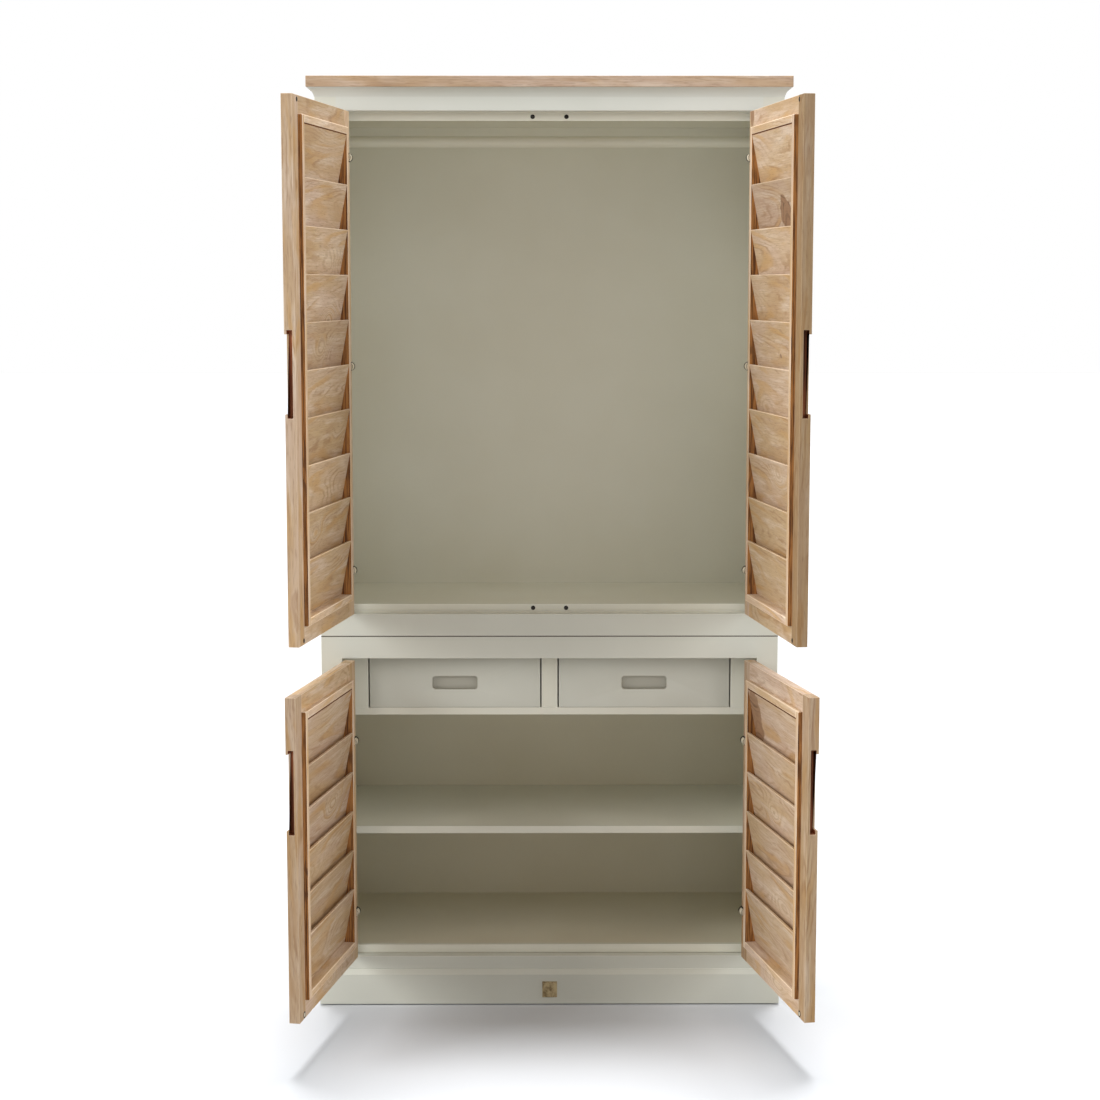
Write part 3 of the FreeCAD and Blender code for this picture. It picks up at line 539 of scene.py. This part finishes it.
def carry_grain(work, faces, edges, name, along=None, knot=None, shade_test=None, crevices=None):
    """Write a board's grain run, tint, figure, and edge wear, painted highlight and shade on the corners of
    its faces.

    Where no knot is chosen for the board, its tint and figure are drawn from its name.
    """
    draw = random.Random(name)
    low, high = extent([vert.co for face in faces for vert in face.verts])
    span, middle = high - low, (low + high) / 2
    order = sorted(range(3), key=lambda axis: -span[axis])
    if along is not None:
        order = [along] + [axis for axis in order if axis != along]
    tint = Vector((draw.uniform(-1, 1), draw.uniform(-1, 1), draw.uniform(0, 60)))
    centre = Vector((draw.uniform(-0.4, 0.4) * span[order[0]], draw.uniform(-0.5, 0.5) * span[order[1]]))
    size = Vector((draw.uniform(0.05, 0.11), draw.uniform(0.018, 0.035)))
    strength = draw.choice((0.0, 1.2, 2.0, 3.0, 4.5))
    if knot:
        centre = Vector((knot[0] * span[order[0]], knot[1] * span[order[1]]))
        size, strength = Vector(knot[2]), knot[3]
        tint.x, tint.y = knot[4]
    layers = work.loops.layers.float_vector
    grain, tints, figure, wear_and_painted_light = (layers[title] for title in ("grain", "tint", "figure", "wear_and_painted_light"))
    for face in faces:
        # Per face: the painted shade level, the eased-edge mark (edge wear and painted highlight) and the
        # painted shadow line
        face_shade = float(shade_test(face)) if shade_test else 0.0
        worn_and_lit_edge = 1.0 if face in edges else 0.0
        crevice = 1.0 if crevices and crevices(face) else 0.0
        for loop in face.loops:
            away = loop.vert.co - middle
            run = Vector([away[axis] for axis in order])
            loop[grain] = run
            loop[tints] = tint
            loop[figure] = ((run.x - centre.x) / size.x, (run.y - centre.y) / size.y, strength)
            loop[wear_and_painted_light] = (worn_and_lit_edge, face_shade, crevice)


def is_sharp(edge):
    """Whether two faces meet at an edge at a clear angle."""
    return len(edge.link_faces) == 2 and edge.calc_face_angle() > SHARP


def sharp_edges(work):
    """The long edges between two faces that meet at a clear angle."""
    return [edge for edge in work.edges if is_sharp(edge) and edge.calc_length() > SHORT_EDGE]


def slice_across(work, place, normal):
    """Cut all of a mesh along a plane, without parting it."""
    bmesh.ops.bisect_plane(work, geom=work.verts[:] + work.edges[:] + work.faces[:],
                           plane_co=place, plane_no=normal)


def block(work, low, high):
    """Add a square-edged board between two corners; gives its corners."""
    made = bmesh.ops.create_cube(work, size=1.0)["verts"]
    bmesh.ops.scale(work, vec=high - low, verts=made)
    bmesh.ops.translate(work, vec=(low + high) / 2, verts=made)
    return made


def ease_edges(work, edges, width, segments=2):
    """Round edges over; gives the set of faces that the rounding made."""
    made = bmesh.ops.bevel(work, geom=edges, offset=width, segments=segments, profile=0.5,
                           affect="EDGES", material=-1, clamp_overlap=False)
    return set(made["faces"])


def islands(work):
    """The separate solids of a mesh as lists of faces, in order of place."""
    left, groups = set(work.faces), []
    for start in work.faces:
        if start not in left:
            continue
        left.remove(start)
        group, waiting = [], [start]
        while waiting:
            face = waiting.pop()
            group.append(face)
            for edge in face.edges:
                for other in edge.link_faces:
                    if other in left:
                        left.remove(other)
                        waiting.append(other)
        groups.append(group)

    def place(group):
        low, _ = extent([vert.co for face in group for vert in face.verts])
        return (-round(low.z, 4), round(low.x, 4), round(low.y, 4))
    return sorted(groups, key=place)


def cad_copy(name, to_local=None):
    """A copy of a CAD node with its triangles joined and its flat faces made whole."""
    work = bmesh.new()
    work.from_mesh(frame["nodes"][name].data)
    bmesh.ops.remove_doubles(work, verts=work.verts, dist=MERGE)
    bmesh.ops.dissolve_limit(work, angle_limit=FLAT, verts=work.verts, edges=work.edges)
    if to_local is not None:
        settle(work, to_local)
    add_layers(work)
    return work


def settle(work, matrix):
    """Move a mesh, and turn it the right way out again where the move mirrors it."""
    bmesh.ops.transform(work, matrix=matrix, verts=work.verts)
    if matrix.determinant() < 0:
        bmesh.ops.recalc_face_normals(work, faces=work.faces)


def cut_board(work, low, high, name, ease, along=None, knot=None, shade_test=None):
    """Add one board with eased edges between two corners."""
    before = set(work.faces)
    made = block(work, Vector(low), Vector(high))
    edges = list({edge for vert in made for edge in vert.link_edges})
    rounded = ease_edges(work, edges, ease)
    faces = [face for face in work.faces if face not in before]
    carry_grain(work, faces, rounded, name, along, knot, shade_test)


def stand(work, name, material, body, nodes, matrix=None, smooth=False):
    """Make the finished mesh an object that rides on its body and stands for its nodes."""
    if matrix is not None:
        settle(work, matrix)
    mesh = bpy.data.meshes.new(name)
    work.to_mesh(mesh)
    work.free()
    mesh.materials.append(material)
    mesh.polygons.foreach_set("use_smooth", [smooth] * len(mesh.polygons))
    if smooth:
        mesh.set_sharp_from_angle(angle=SHARP)
    piece = bpy.data.objects.new(name, mesh)
    bpy.context.scene.collection.objects.link(piece)
    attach(piece, body)
    if nodes:
        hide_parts(*nodes)
    return piece


def eased_node(name, material, body, slot, ease, matrix=None, along=None, knots=None, picked=None,
               shade_test=None, crevices=None):
    """The CAD node's own boards with their edges eased, each with its own grain."""
    to_local = matrix.inverted() if matrix is not None else None
    work = cad_copy(name, to_local)
    edges = [edge for edge in sharp_edges(work) if picked is None or picked(edge)]
    rounded = ease_edges(work, edges, ease)
    for index, faces in enumerate(islands(work)):
        knot = (knots or {}).get(index)
        carry_grain(work, faces, rounded, f"{name}{index}", along, knot, shade_test, crevices)
    return stand(work, name + "_board", material, body, [name], matrix)


def smooth_node(name, material, body):
    """The CAD node's own round pieces, shaded smooth."""
    return stand(cad_copy(name), name + "_round", material, body, [name], smooth=True)


# ---- The carcass

def painted(name, paint, ease=PAINT_EASE, **choices):
    """A painted node of the carcass with its edges eased."""
    return eased_node(name, paint, "carcass", "painted_wood", ease, **choices)


def painted_carcass():
    """Frame boards outside, and the boards inside, each with eased edges."""
    frieze_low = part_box("frieze_rail")[0].z
    painted("frieze_rail", OUTSIDE, FRIEZE_EASE,
            picked=lambda edge: max(vert.co.z for vert in edge.verts) < frieze_low + MERGE)
    # Rails and stiles carry a painted shadow line where the upper cabinet stands on the lower one
    for name in ("upper_bottom_rail", "lower_rails"):
        painted(name, FRAME_WARM_COPY, SEAM_EASE, picked=runs_across, crevices=at_seam)
    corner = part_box("upper_stiles")[1].x
    for name in ("upper_stiles", "lower_stiles"):
        painted(name, FRAME_WARM_COPY, SEAM_EASE, crevices=at_seam,
                picked=lambda edge: min(abs(vert.co.x) for vert in edge.verts) > corner - SHORT_EDGE
                or runs_across(edge))
    for name, paint in (("plinth", FRAME_WARM_COPY), ("drawer_guides", INSIDE_LIT_COPY)):
        painted(name, paint, picked=stands_free)
    for name in ("ceiling_board", "upper_floor", "upper_stops", "lower_stop", "drawer_divider",
                 "drawer_support", "shelf"):
        painted(name, INSIDE_LIT_COPY)
    for name in ("lower_deck", "lower_floor"):
        painted(name, LOWER_SHADED_COPY)
    smooth_node("clothes_rail", INSIDE_LIT_COPY, "carcass")
    smooth_node("rail_sockets", INSIDE_LIT_COPY, "carcass")
    smooth_node("crown_cove", OUTSIDE, "carcass")


def at_seam(face):
    """Whether a face lies where the upper cabinet stands on the lower one, where it gets a painted shadow
    line.
    """
    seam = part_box("lower_stiles")[1].z
    return abs(face.calc_center_median().z - seam) < SEAM_EASE


def stands_free(edge):
    """Whether neither end of an edge is shared with a board that it is joined to."""
    return all(len(vert.link_edges) == 3 for vert in edge.verts)


def runs_across(edge):
    """Whether an edge lies along the width, so that the joints with the stiles stay closed."""
    return abs(edge.verts[0].co.x - edge.verts[1].co.x) > SHORT_EDGE


def two_paints(name, within, inward):
    """A board in outside paint, with another paint on the faces that look inwards."""
    piece = painted(name, OUTSIDE)
    piece.data.materials.append(within)
    for polygon in piece.data.polygons:
        polygon.material_index = 1 if inward(polygon) > LOOKS_ROUGHLY else 0


def sides_and_backs():
    """The boards with outside paint on one face and a lighter copy of it on the inner face as painted light;
    the lower back's inner face takes the darker copy as painted shade.
    """
    for name in ("upper_sides", "lower_sides"):
        two_paints(name, INSIDE_LIT_COPY, lambda face: -face.normal.x * math.copysign(1, face.center.x))
    two_paints("upper_back", INSIDE_LIT_COPY, lambda face: -face.normal.y)
    two_paints("lower_back", LOWER_SHADED_COPY, lambda face: -face.normal.y)


def top_plank():
    """The wooden top, glued up from staves, with rounded edges."""
    work = new_work()
    low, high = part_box("top_plank")
    block(work, low, high)
    ease_edges(work, work.edges[:], PLANK_EASE, 3)
    width = (high.y - low.y) / PLANK_STAVES
    for stave in range(1, PLANK_STAVES):
        slice_across(work, (0, low.y + stave * width, 0), (0, 1, 0))
    for stave in range(PLANK_STAVES):
        faces = [face for face in work.faces
                 if int(min((face.calc_center_median().y - low.y) / width, PLANK_STAVES - 1)) == stave]
        carry_grain(work, faces, set(), f"stave{stave}", 0)
    stand(work, "plank_top", MANGO, "carcass", ["top_plank"])


# ---- Doors

def door_places():
    """For each door, the matrix from its own frame to where it rests."""
    places = {}
    for joint in frame["joints"]:
        if joint["type"] != "hinge":
            continue
        body = joint["child"]
        hand = SIDES[body.split("_")[1]]
        angle = math.radians(joint["range_deg"][0])
        pin = Vector((joint["pos_m"][0], joint["pos_m"][1], 0))
        turn = Matrix.Rotation(hand * angle, 4, "Z")
        mirror = Matrix.Diagonal((hand, 1, 1, 1))
        places[body] = Matrix.Translation(pin) @ turn @ mirror
    return places


def local_extent(node, matrix):
    """A node's lowest and highest corner in its door's own frame."""
    back = matrix.inverted()
    return extent([back @ vert.co for vert in frame["nodes"][node].data.vertices])


def louvre_frame(prefix, body, matrix):
    """The raised frame round the slats: two upright members and two across, with painted shade on the
    uprights' sides and the cross members' undersides.
    """
    low, high = local_extent(f"{prefix}_louvre_frame", matrix)
    work = new_work()
    for x in (low.x, high.x - MEMBER):
        cut_board(work, (x, low.y, low.z), (x + MEMBER, high.y, high.z), f"{prefix}upright{x:.3f}",
                  MEMBER_EASE, 2, MEMBER_GRAIN, lambda face: abs(face.normal.x) > LOOKS)
    for z in (low.z, high.z - MEMBER):
        cut_board(work, (low.x + MEMBER, low.y, z), (high.x - MEMBER, high.y, z + MEMBER),
                  f"{prefix}across{z:.3f}", MEMBER_EASE, 0, MEMBER_GRAIN,
                  lambda face: face.normal.z < -LOOKS)
    stand(work, f"{prefix}_louvre_frame_boards", MANGO, body, [f"{prefix}_louvre_frame"],
          matrix)


def louvre_slats(prefix, body, matrix):
    """The slats, each with its own figure, and a painted shadow line along the top of the topmost, under the
    frame's top member.
    """
    work = cad_copy(f"{prefix}_slats", matrix.inverted())
    rounded = ease_edges(work, sharp_edges(work), SLAT_EASE)
    _, high = local_extent(f"{prefix}_louvre_frame", matrix)
    line = high.z - MEMBER - SHADE_LINE_HEIGHT
    slice_across(work, (0, 0, line), (0, 0, 1))
    for index, faces in enumerate(islands(work)):
        carry_grain(work, faces, rounded, f"{prefix}slat{index}", 0, FIGURES[prefix][index],
                    crevices=lambda face: face.calc_center_median().z > line)
    stand(work, f"{prefix}_slat_boards", MANGO, body, [f"{prefix}_slats"], matrix)


def pull_test(node, matrix):
    """A test for the faces that line the finger pull's slot, away from the stile's own ends, which get
    painted shade.
    """
    low, high = local_extent(node, matrix)

    def in_pull(face):
        """How much painted shade a face carries inside the pull's slot."""
        middle = face.calc_center_median()
        inside = (PULL_X[0] < middle.x < PULL_X[1] and PULL_Y[0] < middle.y < PULL_Y[1]
                  and low.z + PULL_ENDS < middle.z < high.z - PULL_ENDS)
        return WARM_SHADE if inside else 0.0
    return in_pull


def fittings(prefix, body, matrix):
    """Hinge halves and catches with a nickel middle on each round face in a dark rim; on the hinge halves
    the dark rims and the rest of each boss are painted shade on the nickel.
    """
    work = cad_copy(f"{prefix}_fittings", matrix.inverted())
    slice_across(work, (BOSS_RIM, 0, 0), (1, 0, 0))
    bright = set()
    for group in islands(work):
        low, high = extent([vert.co for face in group for vert in face.verts])
        is_catch = high.y - low.y < CATCH_HEIGHT
        if prefix.startswith("upper") and is_catch:
            continue
        # The dark rims round the bright round faces, and on the hinge halves the boss's other faces, are
        # painted shade on the nickel
        ends = [face for face in group if len(face.verts) > ROUND_CORNERS
                and (face.normal.y if is_catch else abs(face.normal.x)) > LOOKS_STRAIGHT]
        for end in ends:
            bmesh.ops.inset_region(work, faces=[end], thickness=CATCH_RIM if is_catch else DISC_RIM)
            bright.add(end)
        if not is_catch:
            bright.update(face for face in group if face.calc_center_median().x > BOSS_RIM
                          and face.normal.y > BOSS_SHADE and face.calc_center_median().y > BOSS_BASE)
    for face in work.faces:
        face.material_index = 1 if face in bright else 0
    piece = stand(work, f"{prefix}_fitting_set", DARK_STEEL_AND_SHADE, body, [f"{prefix}_fittings"],
                  matrix)
    piece.data.materials.append(NICKEL)


def doors():
    """All four doors, each with its boards, slats and fittings."""
    for body, matrix in door_places().items():
        prefix = body.removesuffix("_door")
        eased_node(f"{prefix}_stiles", MANGO, body, "mango_wood", WOOD_EASE, matrix, 2,
                   STILE_FIGURES[prefix], shade_test=pull_test(f"{prefix}_stiles", matrix))
        eased_node(f"{prefix}_rails", MANGO, body, "mango_wood", WOOD_EASE, matrix, 0)
        louvre_frame(prefix, body, matrix)
        louvre_slats(prefix, body, matrix)
        fittings(prefix, body, matrix)


def stop_discs():
    """The plates that the catches meet: dark steel above, painted over on the lower stop."""
    work = cad_copy("stop_magnets")
    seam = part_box("lower_stiles")[1].z
    for face in work.faces:
        face.material_index = 1 if face.calc_center_median().z < seam else 0
    piece = stand(work, "stop_discs", DARK_STEEL_AND_SHADE, "carcass", ["stop_magnets"], smooth=True)
    piece.data.materials.append(INSIDE_LIT_COPY)


# ---- Drawers

def drawer_front(body):
    """A painted front with a rounded rim round its finger recess, and painted shade on the recess's walls
    and floor.
    """
    work = cad_copy(f"{body}_front")
    low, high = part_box(f"{body}_front")

    def away(vert, margin):
        """Whether a corner lies further than a margin inside the front's outline."""
        return (low.x + margin < vert.co.x < high.x - margin
                and low.z + margin < vert.co.z < high.z - margin)

    rim = [edge for edge in work.edges if is_sharp(edge)
           and all(vert.co.y < low.y + MERGE and away(vert, RIM_EASE) for vert in edge.verts)]
    rounded = ease_edges(work, rim, RIM_EASE, 3)
    outer = [edge for edge in sharp_edges(work) if not rounded.intersection(edge.link_faces)
             and any(not away(vert, MERGE) for vert in edge.verts)]
    rounded |= ease_edges(work, outer, PAINT_EASE)

    # Painted shade in the finger recess, full on its walls and less on its floor
    def dust(face):
        """How much painted shade a face carries: only the walls and the floor of the recess do."""
        middle = face.calc_center_median()
        if (low.y + MERGE < middle.y < high.y - RIM_EASE
                and low.x + RIM_EASE < middle.x < high.x - RIM_EASE):
            return RECESS_FLOOR_SHADE if abs(face.normal.y) > LOOKS_ROUGHLY else 1.0
        return 0.0

    carry_grain(work, work.faces[:], rounded, body, shade_test=dust)
    stand(work, f"{body}_front_board", FRAME_WARM_COPY, body, [f"{body}_front"], smooth=True)


def drawers():
    """Both drawers: the painted front and the plain boards of the box."""
    for side in SIDES:
        body = f"{side}_drawer"
        drawer_front(body)
        for part in ("sides", "back", "bottom"):
            eased_node(f"{body}_{part}", INSIDE_LIT_COPY, body, "drawer_wood", PAINT_EASE)


# ---- What stays as the CAD has it

def plain_nodes():
    """Better materials for the nodes that keep their CAD shape."""
    finishes = {"glides": PLASTIC, "blank_plate": BRASS, "shelf_pins": NICKEL,
                "hinge_frame_leaves": NICKEL, "hinge_pins": NICKEL, "cabinet_dowels": BEECH}
    for name, material in finishes.items():
        mesh = frame["nodes"][name].data
        mesh.materials.clear()
        mesh.materials.append(material)


# ---- The room

def looked_at(tree):
    """1 for rays that come straight from the camera, gloss or glass."""
    rays = add(tree, "LightPath").outputs
    seen = calc(tree, "MAXIMUM", rays["Is Camera Ray"], rays["Is Glossy Ray"])
    return calc(tree, "MAXIMUM", seen, rays["Is Transmission Ray"])


def floor():
    """A plain pale floor that shows white to the camera and keeps the shadow."""
    material, tree, shader = new_material("pale_floor")
    connect(tree, shader, Base_Color=FLOOR_LIGHTING, Roughness=0.9, Specular_IOR_Level=0.1)
    white = add(tree, "BsdfDiffuse", {"Color": FLOOR_SEEN})
    glow = add(tree, "Emission", {"Color": (1.0, 1.0, 1.0, 1.0), "Strength": FLOOR_GLOW})
    both = add(tree, "AddShader", {0: white.outputs[0], 1: glow.outputs[0]})
    mix = add(tree, "MixShader", {0: looked_at(tree), 1: shader.outputs[0], 2: both.outputs[0]})
    tree.links.new(mix.outputs[0], tree.nodes.get("Material Output").inputs["Surface"])
    work = bmesh.new()
    bmesh.ops.create_grid(work, x_segments=1, y_segments=1, size=FLOOR_REACH)
    mesh = bpy.data.meshes.new("floor")
    work.to_mesh(mesh)
    work.free()
    mesh.materials.append(material)
    ground = bpy.data.objects.new("floor", mesh)
    bpy.context.scene.collection.objects.link(ground)


def surroundings():
    """A white background for the camera, gloss and glass, and a soft level for the rest."""
    world = bpy.data.worlds.new("studio")
    bpy.context.scene.world = world
    world.use_nodes = True
    tree = world.node_tree
    tree.nodes.clear()
    white = add(tree, "Background", {"Color": (1.0, 1.0, 1.0, 1.0), "Strength": 1.0})
    soft = add(tree, "Background", {"Color": (1.0, 0.99, 0.98, 1.0), "Strength": SOFT_LEVEL})
    mix = add(tree, "MixShader", {0: looked_at(tree), 1: soft.outputs[0], 2: white.outputs[0]})
    add(tree, "OutputWorld", {"Surface": mix.outputs[0]})


def lights():
    """Wide, soft suns, each along its own direction."""
    for name, (towards, strength, spread) in LIGHTS.items():
        lamp = bpy.data.lights.new(name, "SUN")
        lamp.energy = strength
        lamp.angle = math.radians(spread)
        place = bpy.data.objects.new(name, lamp)
        place.rotation_euler = Vector(towards).to_track_quat("-Z", "Y").to_euler()
        bpy.context.scene.collection.objects.link(place)


def camera():
    """The camera of the photograph."""
    data = bpy.data.cameras.new("camera")
    data.sensor_width = SENSOR
    data.lens = FOCAL_PIXELS / IMAGE * SENSOR
    place = bpy.data.objects.new("camera", data)
    place.location = CAMERA_PLACE
    place.rotation_euler = (math.pi / 2 - CAMERA_DOWN, 0, -CAMERA_RIGHT)
    bpy.context.scene.collection.objects.link(place)
    bpy.context.scene.camera = place


bpy.context.scene.view_settings.view_transform = "Standard"
painted_carcass()
sides_and_backs()
top_plank()
doors()
stop_discs()
drawers()
plain_nodes()
floor()
surroundings()
lights()
camera()
